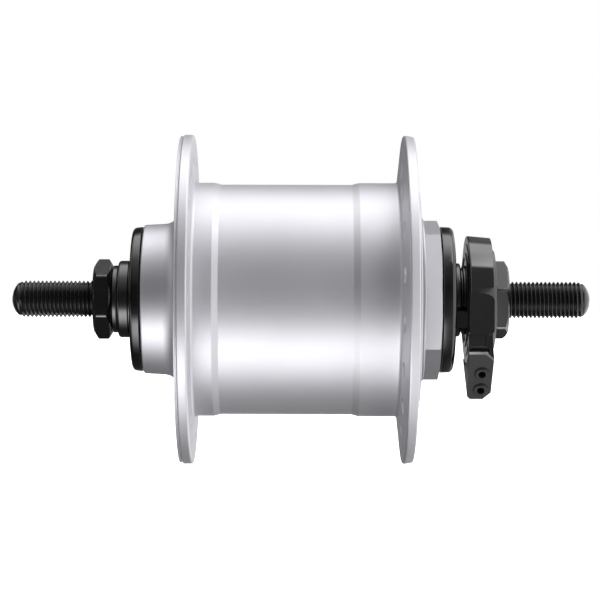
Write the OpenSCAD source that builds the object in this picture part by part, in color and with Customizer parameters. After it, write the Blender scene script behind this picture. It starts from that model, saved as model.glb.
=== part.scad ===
// Front hub generator for a bicycle wheel: a spoked shell turns on cup and cone
// bearings round a fixed threaded axle, which carries a claw-pole stator and a
// two-wire connector. The axle lies along X with the connector at +X, the
// connector's plug points to -Z, and the origin is midway between the locknuts.

/* [Axle] */
// Length of the axle from end to end
axle_len = 140; // [134:1:150]
// Outside diameter of the axle's M9 thread
axle_d = 8.9; // [8.8:0.05:9]
// Distance between the outer faces of the two locknuts
over_locknut = 100; // [99:0.5:102]
// Width across the flats of the locknuts
locknut_af = 17; // [15:1:17]
// Thickness of the left locknut
left_nut_t = 4.4; // [4:0.1:5]
// Thickness of the right locknut
right_nut_t = 3.4; // [3:0.1:4]

/* [Shell] */
// Outside diameter of the spoke flanges
flange_d = 79.6; // [76:0.2:82]
// Distance of the left flange's outer face from the middle
left_flange_x = 29.0; // [28.5:0.1:29.5]
// Thickness of the left flange
left_flange_t = 3.3; // [3:0.1:3.6]
// Distance of the right flange's outer face from the middle
right_flange_x = 27.05; // [26.6:0.05:27.4]
// Thickness of the right flange at its rim
right_flange_t = 2.45; // [2.2:0.05:2.8]
// Outside diameter of the barrel
barrel_d = 55.62; // [55:0.1:57]
// Outside diameter of the collars beside the flanges
collar_d = 56.5; // [56:0.1:57.5]
// Diameter of the bore that holds the magnet ring
cavity_d = 52.8; // [52:0.1:53]
// Diameter of the left bearing boss beside its cover
boss_d = 36; // [35:0.5:37]
// Number of spoke holes in each flange
spoke_count = 18; // [12:2:24]
// Diameter of the circle through the left spoke holes
left_spoke_pcd = 66.5; // [66.5:0.5:68]
// Diameter of the circle through the right spoke holes, over 1 mm under the left one to tell the rings apart
right_spoke_pcd = 65.3; // [64.5:0.1:65.3]
// Diameter of a spoke hole
spoke_hole_d = 2.6; // [2.4:0.1:2.8]

/* [End cap] */
// Width across the flats of the octagonal tool boss
octagon_af = 36; // [34:1:38]
// Outside diameter of the cap's flat disc
cap_disc_d = 56; // [55:0.5:57]
// Thickness of the cap's flat disc
cap_disc_t = 1.15; // [1:0.05:1.5]
// Length of the octagonal boss
octagon_len = 3.9; // [3.5:0.1:4.5]

/* [Bearings] */
// Diameter of a bearing ball (3/16 inch)
ball_d = 4.76; // [4.7:0.02:4.8]
// Number of balls in each bearing
ball_count = 10; // [8:1:10]
// Diameter of the circle through the ball centres
ball_pcd = 20.8; // [20.6:0.1:21.2]
// Diameter of the left dust cover
left_cover_d = 35.1; // [34:0.1:36]
// Diameter of the right dust cover
right_cover_d = 35.4; // [34:0.1:36]

/* [Generator] */
// Length of the stator between the claw plates' outer faces
stator_len = 34; // [30:1:36]
// Outside diameter of the claw poles
claw_d = 44.4; // [43.6:0.2:44.8]
// Number of claws on each claw plate
claw_count = 14; // [10:1:14]
// Air gap between the claws and the magnets
air_gap = 0.7; // [0.5:0.1:0.9]
// Number of magnet segments round the ring
magnet_count = 4; // [2:1:6]

/* [Connector] */
// Diameter of the connector housing's round body
housing_d = 31.1; // [30:0.1:32]
// Width of the housing along the axle
housing_w = 6.8; // [6.4:0.1:7.2]
// Length of the plug cap along its slide
cap_len = 13.4; // [13:0.1:14]
// Lean of the plug about the axle, from straight down
plug_tilt = 32; // [28:1:36]
// Diameter of a wire entry hole in the plug cap
wire_hole_d = 1.9; // [1.6:0.1:2.2]

/* [Hidden] */
$fn = 96;

// Clearances
thread_gap = 0.05;      // radial, between the axle and what is screwed on it
seat_gap = 0.03;        // radial, between pressed or sliding seats of one body
run_gap = 0.3;          // between a turning face and a fixed one
race_gap = 0.2;         // between a ball and its races
cut = 0.5;              // how far a cutting solid passes a face

// Radii worked out from the driving diameters
axle_r = axle_d / 2;
shank_r = axle_r - 0.2; // the thread's mean radius, where nuts and cones hold the axle
bore_r = shank_r + thread_gap;
flange_r = flange_d / 2;
barrel_r = barrel_d / 2;
collar_r = collar_d / 2;
cavity_r = cavity_d / 2;
boss_r = boss_d / 2;
ball_r = ball_d / 2;
race_r = ball_r + race_gap;
ball_ring_r = ball_pcd / 2;

// Bearing sizes shared by both sides
cup_r = 14;
cup_half_w = 3.4;
cup_mouth_r = 11.6;
cup_neck_r = 9.6;
cone_r = 9.0;
cone_neck_r = 7.6;
cone_slope = 1.8;       // length of the taper from a cone's neck to its ball track
collar_face_r = 9.3;
bearing_hole_r = 11;
seal_t = 0.8;

// Left side, from the locknut inwards
washer_t = 1.5;
cone_collar_t = 3.5;
left_cover_t = 2.4;
left_nut_x = -over_locknut / 2;
left_washer_x = left_nut_x + left_nut_t;
left_collar_x = left_washer_x + washer_t;
left_cover_x = left_collar_x + cone_collar_t;
left_boss_x = left_cover_x + left_cover_t + run_gap;
left_ball_x = left_boss_x + 1 + cup_half_w;
left_stem_x = left_ball_x + 3.9;

// Shell
left_rim_x = -left_flange_x;
left_rim_in_x = left_rim_x + left_flange_t;
left_face_x = left_rim_x - 0.6;
left_face_r = 27.2;
right_rim_x = right_flange_x;
right_rim_in_x = right_rim_x - right_flange_t;
right_root_x = right_rim_in_x - 1.3;
rim_round = 0.65;
left_step = [-20.8, -19.3];
right_step = [12.2, 13.8];
wall_in_x = left_ball_x + cup_half_w + 3.5;

// End cap, from its octagon inwards
cap_disc_x = right_rim_x + cap_disc_t;
collar_len = 1.2;
octagon_x = cap_disc_x + collar_len;
octagon_end_x = octagon_x + octagon_len;
boss_collar_r = 19.6;
plug_x = 21.5;
plug_r = cavity_r - thread_gap;
plug_bore_r = 24.4;
cap_web_x = 24.6;
cap_boss_x = 22.9;
cap_boss_r = 17;
right_ball_x = octagon_end_x - 1 - cup_half_w;
cap_seal_x = 25.1;
cap_seal_w = 1.6;
cap_seal_r = cavity_r - 1;

// Right side, from the locknut inwards
right_nut_x = over_locknut / 2;
housing_x1 = right_nut_x - right_nut_t;
housing_x0 = housing_x1 - housing_w;
right_cover_x0 = octagon_end_x + run_gap;
right_cover_x1 = right_cover_x0 + 3.1;
right_stem_x = right_ball_x - 6.4;
inner_spacer_r = 6.5;
spacer_r = 8.9;

// Stator and magnets
stator_mid = -2;
plate_t = 2;
stator_x0 = stator_mid - stator_len / 2;
stator_x1 = stator_mid + stator_len / 2;
core_r = 9;
claw_r = claw_d / 2;
claw_t = 1.8;
claw_span = 0.36 * 360 / claw_count;
claw_tip_gap = 1;
bobbin_wall = 1;
bobbin_r = claw_r - claw_t - 0.4;
bobbin_tube_r = core_r + 0.05;
winding_x0 = stator_x0 + plate_t + bobbin_wall;
winding_x1 = stator_x1 - plate_t - bobbin_wall;
winding_r = bobbin_r - 0.5;
magnet_r0 = claw_r + air_gap;
magnet_gap_deg = 5;
yoke_r0 = 25.2;
stator_nut_t = 3;
stator_nut_af = 17;
stator_washer_t = 1.2;
left_stator_nut_x = stator_x0 - stator_washer_t - stator_nut_t;
right_stator_nut_x = stator_x1 + stator_washer_t;

// Leads: down the right claw plate and along a groove in the axle
lead_r = 0.5;
lead_y = 0.6;
groove_w = 2.5;
groove_z = -3.0;
lead_groove_z = -3.62;
lead_coil_z = -12.5;
slot_low_z = lead_coil_z - 1.2;
slot_top_z = -3;
lead_drop_x = stator_x1 - plate_t + 0.9;
lead_end_x = 43;
lead_end_z = -10;

// Connector housing: a round body with a flat tab on its front (-Y) side
housing_r = housing_d / 2;
housing_tip_r = housing_r - 0.6;
housing_round = 1.2;
tab_front_y = -15.3;
tab_top_z = 0.6;
tab_bottom_z = -8;
tab_x1 = housing_x1 - 0.9;
tongue = [2.7, 3.2, 3.9];
tongue_pos = [housing_x0 - 2.7, -11, -6.6];
keyed_washer_r = 8;
keyed_washer_t = 1.2;

// Plug, in a frame that leans back by plug_tilt about the axle. Its slide runs to local -Z.
plug_gap = 0.25;
plug_front_y = -17.2;
plug_top_z = -3.5;
notch_x1 = housing_x0 + 4.8;
notch_y = -12.7;        // how far back the notch goes
male_x = [housing_x0 + 1.1, housing_x0 + 4.2];
male_y = [-16.3, -13];
male_z = -6.5;
cap_front_y = plug_front_y - 0.3;
cap_back_y = -2;
cap_top_z = plug_top_z - 0.3;
cap_low_z = -cap_len - 3.8;
cap_x0 = housing_x0 + 0.1;
cap_x1 = housing_x1 - 0.6;
cap_lean = 0.031;       // how far the cap's right side moves towards -X for each mm down
slant_w = 1.85;
slant_h = 1.7;
cap_corner = 1.9;
cap_edge = 0.7;
terminal_x = housing_x0 + 2.9;
terminal_w = 3.2;
terminal_t = 0.6;
terminals = [[-14.2, -5.5], [-9, -11.5]];   // local y of each blade and z of its root
terminal_tip_z = -15;
wire_hole_z = [-9.8, -14.4];
wire_hole_x = housing_x0 + 3.6;
wire_rim_r = 1.8;
bush_seat_r = 1.45;
wire_rim_h = 0.35;
bush_len = 2.1;

// A point list for an arc in the profile plane, where a point is [x, radius]
function arc(centre, r, a0, a1, n = 6) =
    [for (i = [0:n]) let (a = a0 + (a1 - a0) * i / n) centre + r * [cos(a), sin(a)]];

// Turns a profile of [x, radius] points round the axle
module turned(points)
    rotate([0, 90, 0]) rotate_extrude() polygon([for (p = points) [p[1], p[0]]]);

// A plain ring between two places along the axle
module ring(x0, x1, r_out, r_in)
    turned([[x0, r_in], [x0, r_out], [x1, r_out], [x1, r_in]]);

// A box between two corners
module box(low, high) translate(low) cube(high - low);

// Places children with their Z axis along the axle, a corner at phi degrees up from -Y
module along_x(x, phi = -90)
    translate([x, 0, 0]) rotate([0, 90, 0]) rotate([0, 0, -90 - phi]) children();

// The ball track that both races are cut with
module ball_track(x)
    along_x(x) rotate_extrude() translate([ball_ring_r, 0]) circle(race_r);

// A hexagonal nut with its corners turned off on the chosen faces
module hex_nut(x0, t, af, phi, chamfer_in = 1, chamfer_out = 1) {
    corner_r = af / sqrt(3);
    face_r = af / 2 - 0.2;
    drop = (corner_r - face_r) * tan(30);
    difference() {
        intersection() {
            along_x(x0, phi) cylinder(h = t, r = corner_r, $fn = 6);
            turned([
                [x0, 0], [x0, corner_r + 0.1 - chamfer_in * (corner_r + 0.1 - face_r)],
                [x0 + drop, corner_r + 0.1], [x0 + t - drop, corner_r + 0.1],
                [x0 + t, corner_r + 0.1 - chamfer_out * (corner_r + 0.1 - face_r)], [x0 + t, 0]
            ]);
        }
        along_x(x0 - cut) cylinder(h = t + 2 * cut, r = bore_r);
        along_x(x0 - 0.01) cylinder(h = 0.6, r1 = bore_r + 0.6, r2 = bore_r);
        along_x(x0 + t - 0.59) cylinder(h = 0.6, r1 = bore_r, r2 = bore_r + 0.6);
    }
}

// Axle -----------------------------------------------------------------------

module axle() {
    half = axle_len / 2;
    stub_x = over_locknut / 2 + 0.3;
    // Depth from the tip and radius of each point, from the tip to the shank
    end = [
        [0, 0], [0, 1.6], [0.25, 2.9], [0.7, 3.7], [1.5, axle_r],
        [half - stub_x, axle_r], [half - stub_x, shank_r]
    ];
    color("dimgray") difference() {
        turned(concat(
            [for (p = end) [p[0] - half, p[1]]],
            [for (i = [len(end) - 1:-1:0]) [half - end[i][0], end[i][1]]]
        ));
        box([lead_drop_x - 0.9, -groove_w / 2, -axle_r - cut], [lead_end_x + 1, groove_w / 2, groove_z]);
    }
}

module left_locknut()
    color("dimgray") hex_nut(left_nut_x, left_nut_t, locknut_af, 34.8);

module right_locknut()
    color("dimgray") hex_nut(right_nut_x - right_nut_t, right_nut_t, locknut_af, 15, 0, 1);

module left_lock_washer()
    color("gray") ring(left_washer_x, left_collar_x, 8.15, bore_r);

module right_lock_washer()
    color("gray") ring(housing_x1 - keyed_washer_t, housing_x1, keyed_washer_r, bore_r);

module right_spacer() {
    color("dimgray") difference() {
        ring(right_cover_x1, housing_x0, spacer_r, bore_r);
        box(tongue_pos - [cut, cut, 0.1], tongue_pos + tongue + [cut, cut, 0.1]);
    }
}

// Bearings -------------------------------------------------------------------

// The fixed cone: side is -1 on the left and 1 on the right
module cone_profile(side, ball_x, stem_x, cover_x, end_x, end_r)
    turned([
        [stem_x, bore_r], [stem_x, cone_neck_r], [ball_x - side * cone_slope, cone_neck_r],
        [ball_x, cone_r], [cover_x, cone_r], [cover_x, end_r],
        [end_x - side * 0.6, end_r], [end_x, end_r - 0.6], [end_x, bore_r]
    ]);

module left_cone() {
    color("darkgray") difference() {
        cone_profile(-1, left_ball_x, left_stem_x, left_cover_x, left_collar_x, collar_face_r);
        ball_track(left_ball_x);
    }
}

module right_cone() {
    color("darkgray") difference() {
        cone_profile(1, right_ball_x, right_stem_x, right_cover_x1 - 1, right_cover_x1, cone_r);
        ball_track(right_ball_x);
    }
}

module bearing_cup(side, x) {
    difference() {
        turned([
            [x + side * cup_half_w, cup_mouth_r], [x + side * cup_half_w, cup_r - seat_gap],
            [x - side * cup_half_w, cup_r - seat_gap], [x - side * cup_half_w, cup_neck_r],
            [x, cup_neck_r], [x, cup_mouth_r]
        ]);
        ball_track(x);
    }
}

module left_bearing_cup() color("silver") bearing_cup(-1, left_ball_x);
module right_bearing_cup() color("silver") bearing_cup(1, right_ball_x);

module ball_place(x)
    for (i = [0:ball_count - 1])
        along_x(x) rotate([0, 0, 360 * i / ball_count]) translate([ball_ring_r, 0, 0]) children();

module balls(x) ball_place(x) sphere(ball_r);

module ball_retainer(side, x) {
    inner_x = x - side * 0.8;
    outer_x = x + side * 2.9;
    difference() {
        ring(min(inner_x, outer_x), max(inner_x, outer_x), 11.2, 9.6);
        ball_place(x) sphere(ball_r + 0.08);
    }
}

module left_balls() color("gainsboro") balls(left_ball_x);
module right_balls() color("gainsboro") balls(right_ball_x);
module left_ball_retainer() color("goldenrod") ball_retainer(-1, left_ball_x);
module right_ball_retainer() color("goldenrod") ball_retainer(1, right_ball_x);

module seal_ring(x0) ring(x0, x0 + seal_t, cup_r - seat_gap, cone_r + 0.35);
module left_seal_ring() color("black") seal_ring(left_boss_x + 0.1);
module right_seal_ring() color("black") seal_ring(octagon_end_x - 0.1 - seal_t);

module left_dust_cover() {
    r = left_cover_d / 2;
    x1 = left_cover_x + left_cover_t;
    color("black") turned(concat(
        [[x1, cone_r + seat_gap], [x1, r - 0.15], [x1 - 0.15, r]],
        arc([left_cover_x + 1, r - 1], 1, 90, 180),
        [[left_cover_x, cone_r + seat_gap]]
    ));
}

module right_dust_cover() {
    r = right_cover_d / 2;
    color("black") turned(concat(
        [[right_cover_x0, cone_r + seat_gap], [right_cover_x0, r - 0.15], [right_cover_x0 + 0.15, r]],
        arc([right_cover_x1 - 1.5, r - 1.6], 1.5, 90, 0),
        [[right_cover_x1, cone_r + seat_gap]]
    ));
}

// Shell and end cap ----------------------------------------------------------

// A ring of spoke holes with broken edges through a flange from x0 to x1
module spoke_holes(x0, x1, pcd, phi) {
    r = spoke_hole_d / 2;
    edge = 0.35;
    for (i = [0:spoke_count - 1])
        rotate([phi - i * 360 / spoke_count, 0, 0]) translate([0, -pcd / 2, 0]) {
            along_x(x0 - cut) cylinder(h = x1 - x0 + 2 * cut, r = r, $fn = 32);
            along_x(x0 - 0.01) cylinder(h = edge, r1 = r + edge, r2 = r, $fn = 32);
            along_x(x1 - edge + 0.01) cylinder(h = edge, r1 = r, r2 = r + edge, $fn = 32);
        }
}

module hub_shell() {
    foot = 3.3;             // radius where the left boss runs into the face
    root = 1;               // radius where a flange runs into its collar
    boss_top_r = boss_r + 0.3;
    left_profile = concat(
        [[left_boss_x, cup_r], [left_boss_x, boss_r - 0.6]],
        arc([left_boss_x + 0.5, boss_r - 0.65], 0.5, 180, 90, 4),
        [[-36, boss_r]],
        arc([left_face_x - foot, boss_top_r + foot], foot, -90, 0),
        [[left_face_x, left_face_r - 0.3], [left_face_x + 0.3, left_face_r], [left_rim_x, left_face_r + 0.15]],
        arc([left_rim_x + rim_round, flange_r - rim_round], rim_round, 180, 90),
        arc([left_rim_in_x - rim_round, flange_r - rim_round], rim_round, 90, 0),
        arc([left_rim_in_x + root, collar_r + root], root, 180, 270),
        [[left_step[0], collar_r], [left_step[1], barrel_r]]
    );
    right_profile = concat(
        [[right_step[0], barrel_r], [right_step[1], collar_r]],
        arc([right_root_x - root, collar_r + root], root, 270, 360),
        arc([right_rim_in_x + rim_round, flange_r - rim_round], rim_round, 172, 90),
        arc([right_rim_x - rim_round, flange_r - rim_round], rim_round, 90, 0),
        [[right_rim_x, cavity_r]]
    );
    inside = [
        [wall_in_x, cavity_r], [wall_in_x, bearing_hole_r],
        [left_ball_x + cup_half_w, bearing_hole_r], [left_ball_x + cup_half_w, cup_r]
    ];
    color("silver") difference() {
        turned(concat(left_profile, right_profile, inside));
        spoke_holes(left_rim_x, left_rim_in_x, left_spoke_pcd, 0);
        spoke_holes(right_root_x, right_rim_x, right_spoke_pcd, 180 / spoke_count);
    }
}

module end_cap() {
    bearing_seat_x = right_ball_x - cup_half_w;
    corner_r = octagon_af / 2 / cos(22.5);
    edge = 0.2;
    color("lightgray") difference() {
        union() {
            turned(concat(
                [[plug_x, plug_bore_r], [plug_x, plug_r - 0.4], [plug_x + 0.4, plug_r],
                 [right_rim_x, plug_r], [right_rim_x, cap_disc_d / 2]],
                arc([cap_disc_x - 0.5, cap_disc_d / 2 - 0.5], 0.5, 90, 0, 4),
                arc([cap_disc_x + 0.7, boss_collar_r + 0.7], 0.7, 180, 270, 4),
                [[octagon_x, boss_collar_r - 0.2], [octagon_x, cup_r], [bearing_seat_x, cup_r],
                 [bearing_seat_x, bearing_hole_r], [cap_boss_x, bearing_hole_r],
                 [cap_boss_x, cap_boss_r], [cap_web_x, cap_boss_r], [cap_web_x, plug_bore_r]]
            ));
            difference() {
                intersection() {
                    along_x(octagon_x, 8) cylinder(h = octagon_len, r = corner_r, $fn = 8);
                    turned([
                        [octagon_x, 0], [octagon_x, corner_r + 0.2],
                        [octagon_end_x - 2 * edge, corner_r + 0.2],
                        [octagon_end_x, octagon_af / 2 - 0.15], [octagon_end_x, 0]
                    ]);
                }
                along_x(octagon_x - cut) cylinder(h = octagon_len + 2 * cut, r = cup_r);
            }
        }
        ring(cap_seal_x - seat_gap, cap_seal_x + cap_seal_w + seat_gap, cavity_r + cut, cap_seal_r);
    }
}

module end_cap_seal()
    color("black") ring(cap_seal_x, cap_seal_x + cap_seal_w, cavity_r - seat_gap, cap_seal_r + seat_gap);

// Generator ------------------------------------------------------------------

module magnet_yoke()
    color("slategray") ring(stator_x0, stator_x1, cavity_r - seat_gap, yoke_r0);

module rotor_magnets() {
    pitch = 360 / magnet_count;
    color("darkslategray") for (i = [0:magnet_count - 1])
        along_x(stator_x0) rotate([0, 0, i * pitch]) rotate_extrude(angle = pitch - magnet_gap_deg)
            translate([magnet_r0, 0]) square([yoke_r0 - seat_gap - magnet_r0, stator_len]);
}

// The slot that the two leads pass through in the stator's right-hand parts
module lead_slot(x0, x1)
    box([x0, -groove_w / 2, slot_low_z], [x1, groove_w / 2, slot_top_z]);

// A claw plate at local z = 0 with its claws reaching to +Z
module claw_plate() {
    reach = stator_len - plate_t - claw_tip_gap;
    difference() {
        cylinder(h = plate_t, r = claw_r - 0.2);
        translate([0, 0, -cut]) cylinder(h = plate_t + 2 * cut, r = bore_r);
    }
    for (i = [0:claw_count - 1])
        rotate([0, 0, i * 360 / claw_count - claw_span / 2]) rotate_extrude(angle = claw_span)
            translate([claw_r - claw_t, 0.5]) square([claw_t, reach - 0.5]);
}

module left_claw_pole() color("dimgray") along_x(stator_x0) claw_plate();

module right_claw_pole()
    color("dimgray") difference() {
        translate([stator_x1, 0, 0]) rotate([0, -90, 0]) rotate([0, 0, 180 / claw_count]) claw_plate();
        lead_slot(stator_x1 - plate_t - cut, stator_x1 + cut);
    }

module stator_core() {
    color("gray") difference() {
        ring(stator_x0 + plate_t, stator_x1 - plate_t, core_r, bore_r);
        lead_slot(stator_x1 - plate_t - 1, stator_x1 - plate_t + cut);
    }
}

module coil_bobbin() {
    x0 = stator_x0 + plate_t;
    x1 = stator_x1 - plate_t;
    color("ivory") difference() {
        turned([
            [x0, bobbin_tube_r], [x0, bobbin_r], [x0 + bobbin_wall, bobbin_r],
            [x0 + bobbin_wall, bobbin_tube_r + 1], [x1 - bobbin_wall, bobbin_tube_r + 1],
            [x1 - bobbin_wall, bobbin_r], [x1, bobbin_r], [x1, bobbin_tube_r]
        ]);
        lead_slot(x1 - bobbin_wall + 0.01, x1 + cut);
    }
}

module coil_winding()
    color("chocolate") ring(winding_x0 + 0.05, winding_x1 - 0.05, winding_r, bobbin_tube_r + 1.05);

module stator_washers() {
    color("gray") {
        ring(stator_x0 - stator_washer_t, stator_x0, core_r, bore_r);
        ring(stator_x1, stator_x1 + stator_washer_t, core_r, bore_r);
    }
}

module left_stator_nut()
    color("dimgray") hex_nut(left_stator_nut_x, stator_nut_t, stator_nut_af, 8, 1, 0);

module right_stator_nut()
    color("dimgray") hex_nut(right_stator_nut_x, stator_nut_t, stator_nut_af, 17, 0, 1);

module right_inner_spacer()
    color("gray") ring(right_stator_nut_x + stator_nut_t, right_stem_x, inner_spacer_r, bore_r);

// A lead is a chain of round bars with a ball at each corner
module lead(y) {
    route = [
        [winding_x1, y, lead_coil_z], [lead_drop_x, y, lead_coil_z],
        [lead_drop_x, y, lead_groove_z], [lead_end_x, y, lead_groove_z],
    ];
    for (i = [0:len(route) - 2]) {
        step = route[i + 1] - route[i];
        translate(route[i]) if (step[2] == 0) {
            rotate([0, 90, 0]) cylinder(h = step[0], r = lead_r, $fn = 24);
        } else {
            cylinder(h = step[2], r = lead_r, $fn = 24);
        }
    }
    for (i = [1:len(route) - 2]) translate(route[i]) sphere(lead_r, $fn = 24);
}

module lead_wires() color("firebrick") for (side = [-1, 1]) lead(side * lead_y);

// Connector ------------------------------------------------------------------

// Places children in the plug's leaning frame
module tilted() rotate([plug_tilt, 0, 0]) children();

// The same for a point [y, z] of an outline
function upright(y, z) =
    [y * cos(plug_tilt) - z * sin(plug_tilt), y * sin(plug_tilt) + z * cos(plug_tilt)];

// How far the cap's right side and its holes lean over at a height
function lean_x(z) = (z - cap_top_z) * cap_lean;

// Extrudes an outline of [y, z] points from x0 to x1
module across(x0, x1, points)
    translate([x0, 0, 0]) rotate([90, 0, 90]) linear_extrude(x1 - x0) polygon(points);

// Extrudes an outline of [x, z] points from y0 back to y1
module front_outline(y0, y1, points)
    translate([0, y1, 0]) rotate([90, 0, 0]) linear_extrude(y1 - y0) polygon(points);

// The two terminal blades grown by a gap, each from its root z to tip z
module blades(gap, tip_z, root_lift = 0)
    tilted() for (t = terminals)
        box([terminal_x - terminal_w / 2 - gap, t[0] - terminal_t / 2 - gap, tip_z - gap],
            [terminal_x + terminal_w / 2 + gap, t[0] + terminal_t / 2 + gap, t[1] + root_lift]);

module connector_housing() {
    r = housing_r;
    color([0.09, 0.09, 0.1]) difference() {
        union() {
            turned(concat(
                [[housing_x0, 0], [housing_x0, r - 0.3], [housing_x0 + 0.3, r]],
                arc([housing_x1 - housing_round, housing_tip_r - housing_round], housing_round, 84, 0),
                [[housing_x1, 0]]
            ));
            // Flat-fronted tab that leans back to carry the plug, with a notch below its flat front
            difference() {
                across(housing_x0, tab_x1, [
                    [tab_front_y, tab_top_z], [0, 0], upright(-4, plug_top_z),
                    upright(plug_front_y, plug_top_z), [tab_front_y, tab_bottom_z]
                ]);
                box([housing_x0 - cut, -housing_r - cut, -housing_r], [notch_x1, notch_y, tab_bottom_z]);
            }
            // Fillet beside the slanted corner of the cap
            tilted() front_outline(plug_front_y, plug_front_y + 4, [
                [cap_x1 - slant_w, plug_top_z + 1], [cap_x1 - slant_w, plug_top_z],
                [tab_x1, plug_top_z - slant_h + 0.35], [tab_x1, plug_top_z + 1]
            ]);
            // Male part of the plug, hidden in the cap
            tilted() box([male_x[0], male_y[0], male_z], [male_x[1], male_y[1], plug_top_z + 1]);
            // Tongue that locates the housing on the spacer
            box(tongue_pos, tongue_pos + tongue + [0.5, 0, 0]);
        }
        along_x(housing_x0 - 5) cylinder(h = housing_w + 10, r = bore_r);
        along_x(housing_x1 - keyed_washer_t) cylinder(h = 5, r = keyed_washer_r + seat_gap);
        box([housing_x0 - cut, -groove_w / 2, lead_end_z], [lead_end_x + 0.7, groove_w / 2, 0]);
        blades(seat_gap, terminal_tip_z);
    }
}

module connector_terminals() color("gold") blades(0, terminal_tip_z);

module connector_cap() {
    g = plug_gap;
    low_x1 = cap_x1 + lean_x(cap_low_z);
    color([0.3, 0.3, 0.31]) difference() {
        tilted() difference() {
            front_outline(cap_front_y, cap_back_y, [
                [cap_x0, cap_top_z], [cap_x1 - slant_w, cap_top_z], [cap_x1, cap_top_z - slant_h],
                [low_x1, cap_low_z + cap_corner], [low_x1 - cap_corner, cap_low_z],
                [cap_x0 + cap_edge, cap_low_z], [cap_x0, cap_low_z + cap_edge]
            ]);
            box([male_x[0] - g, male_y[0] - g, male_z - g], [male_x[1] + g, 0, 0]);
            for (z = wire_hole_z) translate([wire_hole_x + lean_x(z), cap_front_y - cut, z])
                rotate([-90, 0, 0]) cylinder(h = bush_len + cut, r = bush_seat_r);
        }
        along_x(housing_x0 - 1) cylinder(h = housing_w + 2, r = housing_r + run_gap);
        blades(g, terminal_tip_z - 0.4, 8);
    }
}

// The round lips of the two wire holes
module cap_wire_bushes() {
    color([0.35, 0.35, 0.36]) tilted() for (z = wire_hole_z)
        translate([wire_hole_x + lean_x(z), cap_front_y - wire_rim_h, z]) rotate([-90, 0, 0])
            difference() {
                union() {
                    cylinder(h = wire_rim_h, r1 = wire_rim_r - 0.25, r2 = wire_rim_r);
                    cylinder(h = bush_len + wire_rim_h, r = bush_seat_r - seat_gap);
                }
                translate([0, 0, -cut]) cylinder(h = bush_len + 2, r = wire_hole_d / 2);
            }
}

axle();
left_locknut();
left_lock_washer();
left_cone();
left_dust_cover();
right_cone();
right_dust_cover();
right_spacer();
right_lock_washer();
right_locknut();
connector_housing();
connector_terminals();
connector_cap();
cap_wire_bushes();
left_stator_nut();
stator_washers();
left_claw_pole();
stator_core();
coil_bobbin();
coil_winding();
right_claw_pole();
right_stator_nut();
right_inner_spacer();
lead_wires();
hub_shell();
end_cap();
end_cap_seal();
magnet_yoke();
rotor_magnets();
left_bearing_cup();
left_seal_ring();
right_bearing_cup();
right_seal_ring();
left_balls();
left_ball_retainer();
right_balls();
right_ball_retainer();
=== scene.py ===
"""Looks for the front hub generator: detailed pieces, materials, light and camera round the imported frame."""
import math

import bmesh
import bpy
from mathutils import Matrix, Vector


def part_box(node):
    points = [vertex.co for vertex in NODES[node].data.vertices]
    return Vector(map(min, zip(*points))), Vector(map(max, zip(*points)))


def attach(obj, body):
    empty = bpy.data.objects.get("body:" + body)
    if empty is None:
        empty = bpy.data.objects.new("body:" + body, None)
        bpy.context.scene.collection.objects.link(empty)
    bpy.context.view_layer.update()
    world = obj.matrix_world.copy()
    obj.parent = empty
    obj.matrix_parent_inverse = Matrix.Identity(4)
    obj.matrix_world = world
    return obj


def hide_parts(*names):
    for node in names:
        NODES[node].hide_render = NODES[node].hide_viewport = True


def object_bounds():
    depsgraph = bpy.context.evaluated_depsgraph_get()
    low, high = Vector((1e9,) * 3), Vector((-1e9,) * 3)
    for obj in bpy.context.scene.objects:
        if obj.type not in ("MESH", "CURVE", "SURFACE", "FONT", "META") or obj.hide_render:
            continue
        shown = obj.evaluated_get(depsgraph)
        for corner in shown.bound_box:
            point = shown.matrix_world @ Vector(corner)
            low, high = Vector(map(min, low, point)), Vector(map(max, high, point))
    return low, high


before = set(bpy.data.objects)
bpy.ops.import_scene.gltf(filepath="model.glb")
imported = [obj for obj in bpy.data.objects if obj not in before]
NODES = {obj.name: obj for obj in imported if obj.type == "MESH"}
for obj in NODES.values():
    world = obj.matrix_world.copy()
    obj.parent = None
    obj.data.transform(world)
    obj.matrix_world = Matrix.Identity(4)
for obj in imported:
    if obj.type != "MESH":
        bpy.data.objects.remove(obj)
cad_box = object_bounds()

MM = 0.001


# ---------------------------------------------------------------- sizes read from the frame, in mm

def extent(node):
    """The lowest and highest x of a CAD node, in mm."""
    low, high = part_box(node)
    return low.x / MM, high.x / MM


def reach(node):
    """The largest radius of a round CAD node, in mm."""
    low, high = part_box(node)
    return high.y / MM


# ---------------------------------------------------------------- mesh helpers

def link(name, mesh):
    """A new object that holds the mesh, in the scene."""
    piece = bpy.data.objects.new(name, mesh)
    bpy.context.scene.collection.objects.link(piece)
    return piece


def rounded(corners, steps=4):
    """A closed outline from corners (x, r, rounding radius), with each corner turned into an arc."""
    points = []
    count = len(corners)
    for i, (x, r, radius) in enumerate(corners):
        here = Vector((x, r))
        if radius == 0:
            points.append((x, r))
            continue
        before = (Vector(corners[i - 1][:2]) - here).normalized()
        after = (Vector(corners[(i + 1) % count][:2]) - here).normalized()
        half = before.angle(after) / 2
        centre = here + (before + after).normalized() * radius / math.sin(half)
        first = here + before * radius / math.tan(half) - centre
        last = here + after * radius / math.tan(half) - centre
        sweep = first.angle_signed(last)
        for k in range(steps + 1):
            turn = Matrix.Rotation(-sweep * k / steps, 2)
            spot = centre + turn @ first
            points.append((spot.x, spot.y))
    return points


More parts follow.
